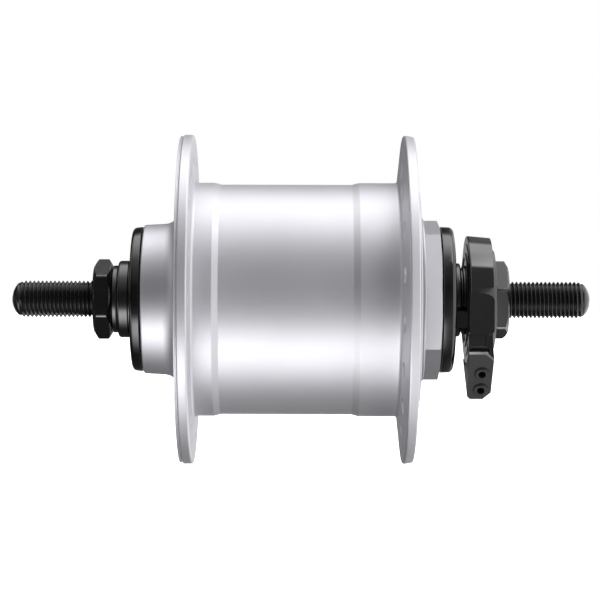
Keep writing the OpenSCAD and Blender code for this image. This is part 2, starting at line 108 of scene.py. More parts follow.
def lathe_mesh(name, outline, segments):
    """A closed outline of (x, r) points in mm, turned round the axle."""
    verts, faces = [], []
    count = len(outline)
    for k in range(segments):
        a = 2 * math.pi * k / segments
        c, s = math.cos(a), math.sin(a)
        verts += [(x * MM, r * c * MM, r * s * MM) for x, r in outline]
    for k in range(segments):
        here, there = k * count, (k + 1) % segments * count
        for i in range(count):
            j = (i + 1) % count
            faces.append((here + i, here + j, there + j, there + i))
    mesh = bpy.data.meshes.new(name)
    mesh.from_pydata(verts, [], faces)
    clean(mesh)
    return mesh


def clean(mesh, distance=1e-7):
    """Merges doubled points, drops faces without area and turns normals outwards."""
    bm = bmesh.new()
    bm.from_mesh(mesh)
    bmesh.ops.remove_doubles(bm, verts=bm.verts, dist=distance)
    bmesh.ops.dissolve_degenerate(bm, edges=bm.edges, dist=distance)
    bmesh.ops.recalc_face_normals(bm, faces=bm.faces)
    bm.to_mesh(mesh)
    bm.free()


def apply_modifiers(piece):
    """Replaces the piece's mesh with the result of its modifiers."""
    graph = bpy.context.evaluated_depsgraph_get()
    made = bpy.data.meshes.new_from_object(piece.evaluated_get(graph))
    piece.modifiers.clear()
    piece.data = made


def combine(piece, tool, operation):
    """Applies a boolean of the tool's mesh to the piece and removes the tool."""
    cut = piece.modifiers.new("cut", "BOOLEAN")
    cut.operation = operation
    cut.solver = "EXACT"
    cut.object = tool
    apply_modifiers(piece)
    bpy.data.objects.remove(tool)
    clean(piece.data)


def break_edges(piece, width, angle=30, segments=2, slot=-1):
    """Rounds every edge sharper than the angle, width in mm; the new faces may take a material slot."""
    bevel = piece.modifiers.new("edges", "BEVEL")
    bevel.width = width * MM
    bevel.segments = segments
    bevel.limit_method = "ANGLE"
    bevel.angle_limit = math.radians(angle)
    bevel.use_clamp_overlap = True
    bevel.material = slot
    apply_modifiers(piece)


def shade(piece, angle=35):
    """Smooth shading that keeps flat faces flat and edges over the angle sharp."""
    piece.data.shade_smooth()
    for face in piece.data.polygons:
        if abs(face.normal.x) > 0.99999:
            face.use_smooth = False
    piece.data.set_sharp_from_angle(angle=math.radians(angle))
    weigh = piece.modifiers.new("normals", "WEIGHTED_NORMAL")
    weigh.keep_sharp = True


def finish_piece(piece, body, material, replaced):
    """Gives a piece its material if it has none, puts it under its body and hides the CAD node it replaces."""
    if not piece.data.materials:
        piece.data.materials.append(material)
    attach(piece, body)
    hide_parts(replaced)
    return piece


def turned(name, corners, segments=192):
    """A turned piece from corners (x, r, rounding), shaded."""
    piece = link(name, lathe_mesh(name, rounded(corners), segments))
    shade(piece)
    return piece


# ---------------------------------------------------------------- material helpers

class Look:
    """A Principled material under construction, with short calls for the nodes it needs."""

    def __init__(self, name, metallic=0.0, ior=1.5, specular=0.5, coat=0.0, coat_rough=0.05):
        self.material = bpy.data.materials.new(name)
        self.material.use_nodes = True
        self.tree = self.material.node_tree
        self.shader = self.tree.nodes["Principled BSDF"]
        self.set("Metallic", metallic)
        self.set("IOR", ior)
        self.set("Specular IOR Level", specular)
        self.set("Coat Weight", coat)
        self.set("Coat Roughness", coat_rough)
        self.coords = self.add("ShaderNodeTexCoord").outputs["Object"]

    def set(self, socket, value):
        self.shader.inputs[socket].default_value = value

    def add(self, kind, **settings):
        node = self.tree.nodes.new(kind)
        for key, value in settings.items():
            setattr(node, key, value)
        return node

    def wire(self, source, target):
        self.tree.links.new(source, target)

    def stretched(self, scale):
        """Object coordinates multiplied by a scale for each axis."""
        node = self.add("ShaderNodeMapping")
        node.inputs["Scale"].default_value = scale
        self.wire(self.coords, node.inputs["Vector"])
        return node.outputs["Vector"]

    def noise(self, scale, detail=3.0, rough=0.5, stretch=None):
        node = self.add("ShaderNodeTexNoise")
        node.inputs["Scale"].default_value = scale
        node.inputs["Detail"].default_value = detail
        node.inputs["Roughness"].default_value = rough
        self.wire(self.stretched(stretch) if stretch else self.coords, node.inputs["Vector"])
        return node.outputs["Fac"]

    def turning(self, pitch_mm):
        """Fine lathe lines round the axle: bands along X, a little uneven."""
        node = self.add("ShaderNodeTexWave", bands_direction="X")
        node.inputs["Scale"].default_value = 0.314 / (pitch_mm * MM)
        node.inputs["Distortion"].default_value = 1.5
        node.inputs["Detail"].default_value = 2.0
        node.inputs["Detail Scale"].default_value = 3.0
        self.wire(self.coords, node.inputs["Vector"])
        return node.outputs["Fac"]

    def span(self, value, low, high):
        """Maps 0..1 onto low..high."""
        node = self.add("ShaderNodeMapRange")
        node.inputs["To Min"].default_value = low
        node.inputs["To Max"].default_value = high
        self.wire(value, node.inputs["Value"])
        return node.outputs["Result"]

    def ramp(self, value, stops):
        """A colour ramp with (position, colour) stops."""
        node = self.add("ShaderNodeValToRGB")
        ramp = node.color_ramp
        while len(ramp.elements) < len(stops):
            ramp.elements.new(1.0)
        for element, (position, colour) in zip(ramp.elements, stops):
            element.position = position
            element.color = (*colour, 1.0)
        self.wire(value, node.inputs["Fac"])
        return node.outputs["Color"]

    def colour(self, output):
        self.wire(output, self.shader.inputs["Base Color"])

    def roughness(self, output):
        self.wire(output, self.shader.inputs["Roughness"])

    def bumps(self, layers):
        """Stacks bump layers of (height output, strength, depth in mm)."""
        normal = None
        for height, strength, depth in layers:
            node = self.add("ShaderNodeBump")
            node.inputs["Strength"].default_value = strength
            node.inputs["Distance"].default_value = depth * MM
            self.wire(height, node.inputs["Height"])
            if normal is not None:
                self.wire(normal, node.inputs["Normal"])
            normal = node.outputs["Normal"]
        self.wire(normal, self.shader.inputs["Normal"])


def grey(value, tint=(1.0, 1.0, 1.0)):
    return tuple(value * t for t in tint)


COOL = (0.965, 0.96, 1.0)


def shell_look():
    """Satin silver alloy, turned and clear coated."""
    look = Look("shell_satin_silver", metallic=0.9)
    patches = look.noise(35, 4, 0.55)
    look.colour(look.ramp(patches, [(0.3, grey(0.70, COOL)), (0.7, grey(0.76, COOL))]))
    look.roughness(look.span(look.noise(900, 3, 0.6), 0.46, 0.53))
    look.bumps([(look.turning(0.16), 0.05, 0.01), (look.noise(2600, 2), 0.06, 0.01)])
    return look.material


def blasted_look():
    """Matte, bead blasted alloy of the end cap's octagon."""
    look = Look("cap_blasted_alloy", metallic=1.0)
    patches = look.noise(60, 4, 0.6)
    look.colour(look.ramp(patches, [(0.3, grey(0.57, COOL)), (0.7, grey(0.63, COOL))]))
    look.roughness(look.span(look.noise(700, 4, 0.6), 0.42, 0.50))
    look.bumps([(look.noise(2200, 3, 0.7), 0.25, 0.02)])
    return look.material


def black_oxide_look():
    """Black oxide on machined steel: near black with a soft sheen, thinner on its edges, whose paler colour is
    wear and a painted glint.
    """
    look = Look("black_oxide_steel", ior=1.6)
    patches = look.noise(140, 5, 0.6)
    look.colour(look.ramp(patches, [(0.3, grey(0.004)), (0.7, grey(0.009, (1.0, 1.0, 1.05)))]))
    look.roughness(look.span(look.noise(420, 4, 0.6), 0.16, 0.25))
    look.bumps([(look.noise(1500, 3, 0.6), 0.10, 0.01)])
    return look.material


def worn_edge_and_glint_look():
    """The rubbed edges of the blackened nuts, where bare steel starts to show, made paler still to paint a
    glint along each edge.
    """
    look = Look("black_oxide_worn_edge_and_painted_glint", metallic=0.6)
    patches = look.noise(260, 5, 0.7)
    look.colour(look.ramp(patches, [(0.35, grey(0.07)), (0.65, grey(0.26))]))
    look.roughness(look.span(look.noise(420, 4, 0.6), 0.22, 0.34))
    look.bumps([(look.noise(1500, 3, 0.6), 0.10, 0.01)])
    return look.material


def turned_oxide_look():
    """Black oxide over lathe lines, for the cone collars and washers."""
    look = Look("black_oxide_turned", ior=1.85)
    patches = look.noise(140, 5, 0.6)
    look.colour(look.ramp(patches, [(0.3, grey(0.004)), (0.7, grey(0.008))]))
    look.roughness(look.span(look.noise(500, 3, 0.6), 0.18, 0.27))
    look.bumps([(look.turning(0.22), 0.12, 0.01), (look.noise(1500, 3, 0.6), 0.08, 0.01)])
    return look.material


def cover_look():
    """Satin black moulded plastic of the dust covers."""
    look = Look("cover_black_plastic", ior=1.78)
    patches = look.noise(90, 4, 0.6)
    look.colour(look.ramp(patches, [(0.3, grey(0.002)), (0.7, grey(0.004, (1.0, 1.0, 1.06)))]))
    look.roughness(look.span(look.noise(600, 4, 0.6), 0.09, 0.14))
    look.bumps([(look.noise(1800, 3, 0.6), 0.06, 0.01)])
    return look.material


def gloss_look():
    """Gloss black moulding of the connector housing."""
    look = Look("housing_gloss_black", ior=1.8)
    patches = look.noise(70, 3, 0.5)
    look.colour(look.ramp(patches, [(0.3, grey(0.017)), (0.7, grey(0.022))]))
    look.roughness(look.span(look.noise(300, 3, 0.6), 0.07, 0.11))
    look.bumps([(look.noise(1500, 3, 0.6), 0.04, 0.01)])
    return look.material


def plug_look():
    """Dark grey, fine-grained plastic of the plug cap."""
    look = Look("plug_grey_plastic", specular=0.3)
    patches = look.noise(80, 4, 0.6)
    look.colour(look.ramp(patches, [(0.3, grey(0.020)), (0.7, grey(0.028))]))
    look.roughness(look.span(look.noise(900, 4, 0.6), 0.36, 0.46))
    look.bumps([(look.noise(2600, 3, 0.65), 0.18, 0.015)])
    return look.material


def plug_brow_highlight_look():
    """A paler colour along the top brow of the plug cap: a painted highlight for the low light caught there.
    """
    look = Look("plug_brow_painted_highlight", ior=1.9)
    patches = look.noise(240, 5, 0.7)
    look.colour(look.ramp(patches, [(0.35, grey(0.12)), (0.65, grey(0.20))]))
    look.roughness(look.span(look.noise(600, 4, 0.6), 0.16, 0.26))
    look.bumps([(look.noise(2600, 3, 0.65), 0.12, 0.015)])
    return look.material


def metal_look(name, low, high, rough, tint=(1.0, 1.0, 1.0), pitch_mm=None, grain=0.06):
    """A plain metal with cloudy colour, uneven gloss and a fine grain or lathe lines."""
    look = Look(name, metallic=1.0)
    patches = look.noise(120, 5, 0.6)
    look.colour(look.ramp(patches, [(0.3, grey(low, tint)), (0.7, grey(high, tint))]))
    look.roughness(look.span(look.noise(500, 4, 0.6), rough - 0.05, rough + 0.07))
    layers = [(look.noise(2000, 3, 0.6), grain, 0.01)]
    if pitch_mm:
        layers.append((look.turning(pitch_mm), 0.12, 0.01))
    look.bumps(layers)
    return look.material


def plain_look(name, low, high, rough, tint=(1.0, 1.0, 1.0), grain=0.1):
    """A plastic, rubber or ceramic with cloudy colour and a fine grain."""
    look = Look(name, specular=0.4)
    patches = look.noise(150, 4, 0.6)
    look.colour(look.ramp(patches, [(0.3, grey(low, tint)), (0.7, grey(high, tint))]))
    look.roughness(look.span(look.noise(700, 4, 0.6), rough - 0.06, rough + 0.06))
    look.bumps([(look.noise(2000, 3, 0.6), grain, 0.015)])
    return look.material


def winding_look():
    """Enamelled copper wire, wound in close turns round the axle."""
    look = Look("coil_copper_wire", metallic=1.0, coat=0.6, coat_rough=0.15)
    wires = look.add("ShaderNodeTexWave", bands_direction="X")
    wires.inputs["Scale"].default_value = 0.314 / (0.5 * MM)
    wires.inputs["Distortion"].default_value = 0.6
    look.wire(look.coords, wires.inputs["Vector"])
    # the ramp darkens the grooves between turns: painted shade where the wires meet
    look.colour(look.ramp(wires.outputs["Fac"], [(0.0, (0.16, 0.05, 0.02)), (0.6, (0.62, 0.26, 0.11))]))
    look.roughness(look.span(look.noise(500, 3, 0.6), 0.25, 0.38))
    look.bumps([(wires.outputs["Fac"], 0.8, 0.12)])
    return look.material


SHELL = shell_look()
BLASTED = blasted_look()
OXIDE = black_oxide_look()
OXIDE_EDGE_WEAR_AND_GLINT = worn_edge_and_glint_look()
OXIDE_TURNED = turned_oxide_look()
COVER = cover_look()
GLOSS = gloss_look()
PLUG = plug_look()
PLUG_BROW_HIGHLIGHT = plug_brow_highlight_look()
PLATED = metal_look("zinc_plated_steel", 0.42, 0.5, 0.34, (0.98, 0.99, 1.0), 0.25)
BEARING = metal_look("ground_bearing_steel", 0.6, 0.66, 0.16, (0.98, 0.99, 1.0), None, 0.02)
RETAINER = metal_look("passivated_retainer", 0.5, 0.56, 0.3, (1.0, 0.84, 0.5))
IRON = metal_look("phosphated_iron", 0.09, 0.13, 0.5, (1.0, 1.0, 1.02), None, 0.15)
BRASS = metal_look("terminal_brass", 0.36, 0.42, 0.34, (1.0, 0.78, 0.36))
FERRITE = plain_look("sintered_ferrite", 0.02, 0.035, 0.6, (1.0, 1.0, 1.04), 0.2)
NYLON = plain_look("bobbin_nylon", 0.62, 0.7, 0.45, (1.0, 0.97, 0.86))
RED = plain_look("lead_insulation_red", 0.5, 0.58, 0.4, (1.0, 0.08, 0.05))
CORE = plain_look("core_dark_plastic", 0.014, 0.022, 0.34)
RUBBER = plain_look("seal_rubber_black", 0.012, 0.02, 0.6)
COPPER = winding_look()


# ---------------------------------------------------------------- the axle and its thread

PITCH = 1.0
CREST_R = 4.45
ROOT_R = 3.88
DOME_R = 5.6
DOME_DEPTH = 1.5
DOME_EDGE_R = 3.82
AXLE_END = extent("axle")[1]
THREAD_IN = (extent("left_locknut")[1], extent("right_locknut")[0])
SHANK_R = 4.2              # between the nuts, inside the bores
# One turn of the thread: (share of a pitch, radius)
THREAD = [(0.00, 4.42), (0.06, CREST_R), (0.12, 4.42), (0.45, 3.95), (0.56, ROOT_R), (0.67, 3.95)]


def axle_limit(x):
    """The largest radius at x, under the bores between the nuts and on the rounded ends."""
    if THREAD_IN[0] < x < THREAD_IN[1]:
        return SHANK_R
    depth = AXLE_END - abs(x)
    if depth <= 0:
        return 0.0
    if depth < DOME_DEPTH:
        return math.sqrt(2 * DOME_R * depth - depth * depth)
    return DOME_EDGE_R + (depth - DOME_DEPTH) * 0.42


def threaded_axle():
    """A right-hand helical thread from end to end, with domed tips."""
    segments = 64
    rows_per_turn = len(THREAD)
    turns = int(2 * AXLE_END / PITCH) + 2
    rows = turns * rows_per_turn
    verts, faces = [], []
    for k in range(rows):
        share, radius = THREAD[k % rows_per_turn]
        start = (k // rows_per_turn + share) * PITCH - AXLE_END - PITCH
        for i in range(segments):
            x = start + PITCH * i / segments
            x = max(-AXLE_END, min(AXLE_END, x))
            a = 2 * math.pi * i / segments
            r = min(radius, axle_limit(x))
            verts.append((x * MM, r * math.cos(a) * MM, r * math.sin(a) * MM))
    for k in range(rows - 1):
        for i in range(segments):
            after = i + 1
            low, high = k * segments + after, (k + 1) * segments + after
            if after == segments:
                low, high = (k + rows_per_turn) * segments, (k + 1 + rows_per_turn) * segments
            if max(low, high) < len(verts):
                faces.append((k * segments + i, (k + 1) * segments + i, high, low))
    mesh = bpy.data.meshes.new("axle_thread")
    mesh.from_pydata(verts, [], faces)
    clean(mesh, 2e-6)
    piece = link("axle_thread", mesh)
    return piece


def add_axle():
    piece = threaded_axle()
    shade(piece, 60)
    finish_piece(piece, "axle_set", OXIDE, "axle")


# ---------------------------------------------------------------- nuts

def prism_mesh(name, x0, x1, sides, corner_r, phi):
    """A prism along the axle with a corner phi degrees up from -Y."""
    bm = bmesh.new()
    ring = []
    for k in range(sides):
        a = math.radians(phi + 360 * k / sides)
        ring.append(bm.verts.new((x0 * MM, -corner_r * math.cos(a) * MM, corner_r * math.sin(a) * MM)))
    face = bm.faces.new(ring)
    made = bmesh.ops.extrude_face_region(bm, geom=[face])
    moved = [v for v in made["geom"] if isinstance(v, bmesh.types.BMVert)]
    bmesh.ops.translate(bm, verts=moved, vec=((x1 - x0) * MM, 0, 0))
    bmesh.ops.recalc_face_normals(bm, faces=bm.faces)
    mesh = bpy.data.meshes.new(name)
    bm.to_mesh(mesh)
    bm.free()
    return mesh


def faceted(name, x0, x1, sides, across_flats, phi, envelope, bore_r, edge):
    """A prism cut to a turned envelope, bored, with its edges broken."""
    corner_r = across_flats / 2 / math.cos(math.pi / sides)
    piece = link(name, prism_mesh(name, x0, x1, sides, corner_r, phi))
    piece.data.materials.append(OXIDE)
    piece.data.materials.append(OXIDE_EDGE_WEAR_AND_GLINT)
    # the bevels take slot 1: rubbed steel, made paler to paint a glint along each edge
    break_edges(piece, edge, 24, 4, 1)
    combine(piece, link("tool", lathe_mesh("tool", envelope, 144)), "INTERSECT")
    bore = [(x0 - 1, 0.01), (x0 - 1, bore_r + 1.6), (x0 + 0.6, bore_r), (x1 - 0.6, bore_r),
            (x1 + 1, bore_r + 1.6), (x1 + 1, 0.01)]
    combine(piece, link("tool", lathe_mesh("tool", bore, 96)), "DIFFERENCE")
    shade(piece, 24)
    return piece


def nut_envelope(x0, x1, corner_r, low_r, high_r, slope=0.62):
    """The turned shape that takes a nut's corners off towards each face."""
    wide = corner_r + 0.2
    return [(x0, 0.01), (x0, low_r), (x0 + (wide - low_r) * slope, wide),
            (x1 - (wide - high_r) * slope, wide), (x1, high_r), (x1, 0.01)]


NUT_AF = 17.0
NUT_CORNER_R = NUT_AF / math.sqrt(3)
NUT_BORE_R = 4.5
NUT_EDGE = 0.4
LEFT_NUT_TURN = 34.8       # degrees
RIGHT_NUT_TURN = 15.0


def add_nuts():
    x0, x1 = extent("left_locknut")
    left = faceted("left_nut_detailed", x0, x1, 6, NUT_AF, LEFT_NUT_TURN,
                   nut_envelope(x0, x1, NUT_CORNER_R, 8.0, 8.2), NUT_BORE_R, NUT_EDGE)
    finish_piece(left, "axle_set", OXIDE, "left_locknut")
    x0, x1 = extent("right_locknut")
    right = faceted("right_nut_detailed", x0, x1, 6, NUT_AF, RIGHT_NUT_TURN,
                    nut_envelope(x0, x1, NUT_CORNER_R, 9.6, 8.1), NUT_BORE_R, NUT_EDGE)
    finish_piece(right, "axle_set", OXIDE, "right_locknut")


# ---------------------------------------------------------------- the shell and its end cap

SHELL_X0, SHELL_X1 = extent("hub_shell")
CAP_X0, CAP_X1 = extent("end_cap")
RIM_R = reach("hub_shell")
BOSS_R = 18.0
FACE_X = -29.6             # outer face of the left flange's raised disc
RIM_X0 = -29.0             # outer face of the left flange's rim
LEFT_RIM_T = 3.3           # thickness of the left flange's rim
RIGHT_RIM_T = 2.45
COLLAR_R = 28.25
BARREL_R = 27.81
CAVITY_R = 26.4
CUP_R = 14.0               # outside of the bearing cups
SEAT_R = 11.0              # hole behind each cup
SEAT_DEPTH = 7.8           # from the outer face to the cup's seat
LEFT_STEP = (-20.8, -19.3)  # where the left collar slopes down to the barrel
RIGHT_STEP = (12.2, 13.8)
SPOKES = 18                # on each flange
HOLE_R = 1.3
LEFT_HOLES_R = 33.25       # circle of the left flange's holes
RIGHT_HOLES_R = 32.65


def hole_tools(x0, x1, ring_r, phi):
    """Cutting solids for a ring of spoke holes with broken edges."""
    sink = 0.4
    outline = [(x0 - 1, 0.01), (x0 - 1, HOLE_R + 1 + sink), (x0 + sink, HOLE_R), (x1 - sink, HOLE_R),
               (x1 + 1, HOLE_R + 1 + sink), (x1 + 1, 0.01)]
    pattern = lathe_mesh("hole", outline, 24)
    bm = bmesh.new()
    for k in range(SPOKES):
        a = math.radians(phi + 360 * k / SPOKES)
        bm.from_mesh(pattern)
        new = bm.verts[-len(pattern.vertices):]
        bmesh.ops.translate(bm, verts=new, vec=(0, -ring_r * math.cos(a) * MM, ring_r * math.sin(a) * MM))
    mesh = bpy.data.meshes.new("holes")
    bm.to_mesh(mesh)
    bm.free()
    return link("tool", mesh)


def add_shell():
    rim_x1 = RIM_X0 + LEFT_RIM_T - 0.15
    lip_x = RIM_X0 + 0.35
    thin_x0 = SHELL_X1 - RIGHT_RIM_T
    root_x = thin_x0 - 1.3
    seat_x = SHELL_X0 + SEAT_DEPTH
    outline = rounded([
        (SHELL_X0, CUP_R, 0.2), (SHELL_X0, BOSS_R, 0.5), (FACE_X, BOSS_R + 0.45, 3.3),
        (FACE_X, 27.2, 0.25), (RIM_X0, 27.45, 0.2), (RIM_X0, RIM_R - 0.3, 0.12),
        (lip_x, RIM_R - 0.3, 0.08), (lip_x + 0.05, RIM_R - 0.6, 0.03), (lip_x + 0.25, RIM_R - 0.6, 0.03),
        (lip_x + 0.5, RIM_R, 0.25), (rim_x1, RIM_R, 0.55),
        (rim_x1, COLLAR_R, 0.9), (LEFT_STEP[0], COLLAR_R, 0.6), (LEFT_STEP[1], BARREL_R, 0.6),
        (RIGHT_STEP[0], BARREL_R, 0.6), (RIGHT_STEP[1], COLLAR_R, 0.6), (root_x, COLLAR_R, 0.9),
        (thin_x0, RIM_R, 0.5), (SHELL_X1, RIM_R - 0.4, 0.4), (SHELL_X1, CAVITY_R, 0.2),
        (seat_x + 3.5, CAVITY_R, 0.5), (seat_x + 3.5, SEAT_R, 0.2),
        (seat_x, SEAT_R, 0.2), (seat_x, CUP_R, 0.2),
    ], 5)
    piece = link("hub_shell_turned", lathe_mesh("hub_shell_turned", outline, 240))
    combine(piece, hole_tools(RIM_X0, rim_x1, LEFT_HOLES_R, 0), "DIFFERENCE")
    combine(piece, hole_tools(thin_x0 - 0.6, SHELL_X1, RIGHT_HOLES_R, 180 / SPOKES), "DIFFERENCE")
    shade(piece, 30)
    finish_piece(piece, "hub_rotor", SHELL, "hub_shell")


OCTAGON_AF = 36.0
OCTAGON_X = 29.4           # foot of the octagon
OCTAGON_TURN = 8           # degrees
DISC_R = 28.0
DISC_X = 28.2              # outer face of the cap's disc
WEB_X = 24.6               # inner face of the cap's web
HUB_X = 22.9               # inner end of the cap's hub
HUB_R = 17.0
SKIRT_R = 24.4             # inside of the cap's skirt
BEAD_R = 19.85             # bead at the octagon's foot


def add_end_cap():
    seat_x = CAP_X1 - SEAT_DEPTH
    bead_x = OCTAGON_X - 0.65
    outline = rounded([
        (CAP_X0, SKIRT_R, 0.2), (CAP_X0, CAVITY_R - 0.05, 0.3), (SHELL_X1 + 0.02, CAVITY_R - 0.05, 0.1),
        (SHELL_X1 + 0.02, DISC_R, 0.15), (DISC_X, DISC_R, 0.45), (DISC_X, 19.5, 0.7),
        (bead_x, 19.35, 0.15), (bead_x + 0.1, BEAD_R, 0.25), (OCTAGON_X, BEAD_R, 0.25),
        (OCTAGON_X + 0.1, CUP_R, 0), (seat_x, CUP_R, 0.2), (seat_x, SEAT_R, 0.2), (HUB_X, SEAT_R, 0.2),
        (HUB_X, HUB_R, 0.3), (WEB_X, HUB_R, 0.3), (WEB_X, SKIRT_R, 0.3),
    ], 4)
    piece = link("end_cap_machined", lathe_mesh("end_cap_machined", outline, 240))
    corner_r = OCTAGON_AF / 2 / math.cos(math.pi / 8)
    boss = link("boss", prism_mesh("boss", OCTAGON_X, CAP_X1, 8, corner_r, OCTAGON_TURN))
    edge = 0.3
    envelope = [(OCTAGON_X - 1, 0.01), (OCTAGON_X - 1, corner_r + 1), (CAP_X1 - edge, corner_r + 0.15),
                (CAP_X1, OCTAGON_AF / 2 - 0.05), (CAP_X1, 0.01)]
    combine(boss, link("tool", lathe_mesh("tool", envelope, 144)), "INTERSECT")
    combine(piece, boss, "UNION")
    bore = [(seat_x, 0.01), (seat_x, CUP_R), (CAP_X1 - edge, CUP_R), (CAP_X1 + 1, CUP_R + 1 + edge),
            (CAP_X1 + 1, 0.01)]
    combine(piece, link("tool", lathe_mesh("tool", bore, 240)), "DIFFERENCE")
    break_edges(piece, 0.12, 30, 2)
    shade(piece, 30)
    finish_piece(piece, "hub_rotor", BLASTED, "end_cap")


# ---------------------------------------------------------------- turned pieces along the axle

SHAFT_R = 4.3              # bore of the pieces between the nuts
CONE_R = 9.0
CONE_NECK_R = 7.6
COLLAR_CONE_R = 9.3        # the left cone's round collar
LEFT_BALL_X = -33.5
BALL_RING_R = 10.4         # circle through the balls' centres
RACE_R = 2.58              # hollow of the ball track
COVER_GAP = 0.03


def race(x):
    """The arc of a cone's ball track round (x, BALL_RING_R), from its deepest point up to the cone's rim."""
    steps = 10
    rim = math.asin((BALL_RING_R - CONE_R) / RACE_R)
    points = []
    for i in range(steps + 1):
        a = -math.pi / 2 + (math.pi / 2 - rim) * i / steps
        points.append((x + RACE_R * math.cos(a), BALL_RING_R + RACE_R * math.sin(a)))
    return points


def add_left_cone():
    x0, x1 = extent("left_cone")
    cover_x = extent("left_dust_cover")[0]
    collar_r = COLLAR_CONE_R
    outline = rounded([
        (x0, SHAFT_R, 0.2), (x0, collar_r, 0.7), (cover_x - 1.0, collar_r, 0.15),
        (cover_x - 0.75, collar_r - 0.3, 0.1), (cover_x - 0.45, collar_r - 0.3, 0.1),
        (cover_x - 0.2, collar_r, 0.15), (cover_x, collar_r, 0.1), (cover_x, CONE_R, 0),
    ], 4) + list(reversed(race(LEFT_BALL_X))) + [(x1, CONE_NECK_R), (x1, SHAFT_R)]
    piece = link("left_cone_turned", lathe_mesh("left_cone_turned", outline, 192))
    shade(piece, 30)
    finish_piece(piece, "axle_set", OXIDE_TURNED, "left_cone")


def add_left_washer():
    x0, x1 = extent("left_lock_washer")
    r = reach("left_lock_washer")
    piece = turned("left_washer_turned", [
        (x0, SHAFT_R, 0.1), (x0, r - 0.9, 0.2), (x0 + 0.25, r - 0.7, 0.1), (x0 + 0.25, r, 0.2), (x1, r, 0.35),
        (x1, SHAFT_R, 0.1),
    ])
    finish_piece(piece, "axle_set", OXIDE_TURNED, "left_lock_washer")


def add_covers():
    x0, x1 = extent("left_dust_cover")
    r = reach("left_dust_cover")
    inner = CONE_R + COVER_GAP
    left = turned("left_cover_moulded", [
        (x0, inner, 0.1), (x0, 11.2, 0.15), (x0 + 0.3, 11.4, 0.2), (x0 + 0.3, 12.6, 0.2), (x0, 12.8, 0.15),
        (x0, r - 0.3, 1.0), (x1, r, 0.2), (x1, 15.5, 0.2), (x1 - 0.5, 15.3, 0.2), (x1 - 0.5, inner, 0.1),
    ], 240)
    finish_piece(left, "axle_set", COVER, "left_dust_cover")
    x0, x1 = extent("right_dust_cover")
    r = reach("right_dust_cover")
    right = turned("right_cover_moulded", [
        (x0 + 0.6, inner, 0.1), (x0 + 0.6, 15.3, 0.2), (x0, 15.5, 0.2), (x0, r, 0.2), (x1, r - 0.12, 1.1),
        (x1, 12.8, 0.15), (x1 - 0.3, 12.6, 0.2), (x1 - 0.3, 11.4, 0.2), (x1, 11.2, 0.15), (x1, inner, 0.1),
    ], 240)
    finish_piece(right, "axle_set", COVER, "right_dust_cover")


def add_spacer():
    x0, x1 = extent("right_spacer")
    r = reach("right_spacer")
    piece = link("right_spacer_turned", lathe_mesh("right_spacer_turned", rounded([
        (x0, SHAFT_R, 0.1), (x0, r, 0.3), (x0 + 1.75, r, 0.35), (x0 + 1.75, r - 1.1, 0.15),
        (x0 + 2.2, r - 1.1, 0.15), (x0 + 2.3, r - 0.5, 0.25), (x1, r - 0.5, 0.25), (x1, SHAFT_R, 0.1),
    ]), 192))
    slot = block("tool", (37.0, -12, -6.8), (x1 + 1, -7.3, -2.5))
    combine(piece, slot, "DIFFERENCE")
    shade(piece, 30)
    finish_piece(piece, "axle_set", OXIDE_TURNED, "right_spacer")


# ---------------------------------------------------------------- connector

PLUG_TILT = math.radians(32)
PLUG_TURN = Matrix.Rotation(PLUG_TILT, 4, "X")
HOUSING_X0, HOUSING_X1 = extent("connector_housing")[0] + 2.7, extent("connector_housing")[1]
HOUSING_R = 15.55
TAB_X1 = HOUSING_X1 - 0.9
TAB_Y = -15.47
TAB_LOW_Z = -8.0
HOUSING_BORE_R = 4.4      # bore of the connector housing
CORE_Y = -12.1             # front of the lean block in the notch
CHEEK_LOW_Z = -13.9
# Turns a slab drawn as (x, y) into one that is extruded upwards
UPRIGHT_TURN = Matrix(((1, 0, 0, 0), (0, 0, 1, 0), (0, 1, 0, 0), (0, 0, 0, 1)))
# Turns a slab drawn as (y, z) into one that is extruded along the axle
AXLE_TURN = Matrix(((0, 1, 0, 0), (1, 0, 0, 0), (0, 0, 1, 0), (0, 0, 0, 1)))
PLUG_TOP_Z = -3.5
NOTCH_X1 = HOUSING_X0 + 4.8
CAP_Y = -17.5
CAP_TOP_Z = -3.6
CAP_LOW_Z = -17.2
CAP_LEAN = 0.031
CAP_SIDE_X0 = HOUSING_X0 + 0.1
CAP_SIDE_X1 = HOUSING_X1 - 0.6
SLANT = (1.85, 1.7)
BROW = 0.7                 # height of the cap's brow, a stand-in made to catch the low light; its pale colour is a painted highlight
BROW_TILT = 12             # degrees from the cap's front
HOLES_Z = (-9.8, -14.4)
HOLE_X = HOUSING_X0 + 3.6


def block(name, low, high):
    """A box between two corners in mm, used to cut or join."""
    bm = bmesh.new()
    bmesh.ops.create_cube(bm, size=1)
    for v in bm.verts:
        v.co = Vector([(a if c < 0 else b) * MM for c, a, b in zip(v.co, low, high)])
    mesh = bpy.data.meshes.new(name)
    bm.to_mesh(mesh)
    bm.free()
    return link(name, mesh)


def slab(name, outline, y0, y1, turn=None):
    """An outline of (x, z) points in mm, extruded along y from y0 to y1 and turned."""
    bm = bmesh.new()
    face = bm.faces.new([bm.verts.new((x * MM, y0 * MM, z * MM)) for x, z in outline])
    made = bmesh.ops.extrude_face_region(bm, geom=[face])
    moved = [v for v in made["geom"] if isinstance(v, bmesh.types.BMVert)]
    bmesh.ops.translate(bm, verts=moved, vec=(0, (y1 - y0) * MM, 0))
    bmesh.ops.recalc_face_normals(bm, faces=bm.faces)
    mesh = bpy.data.meshes.new(name)
    bm.to_mesh(mesh)
    bm.free()
    if turn:
        mesh.transform(turn)
        if turn.determinant() < 0:
            mesh.flip_normals()
    return link(name, mesh)


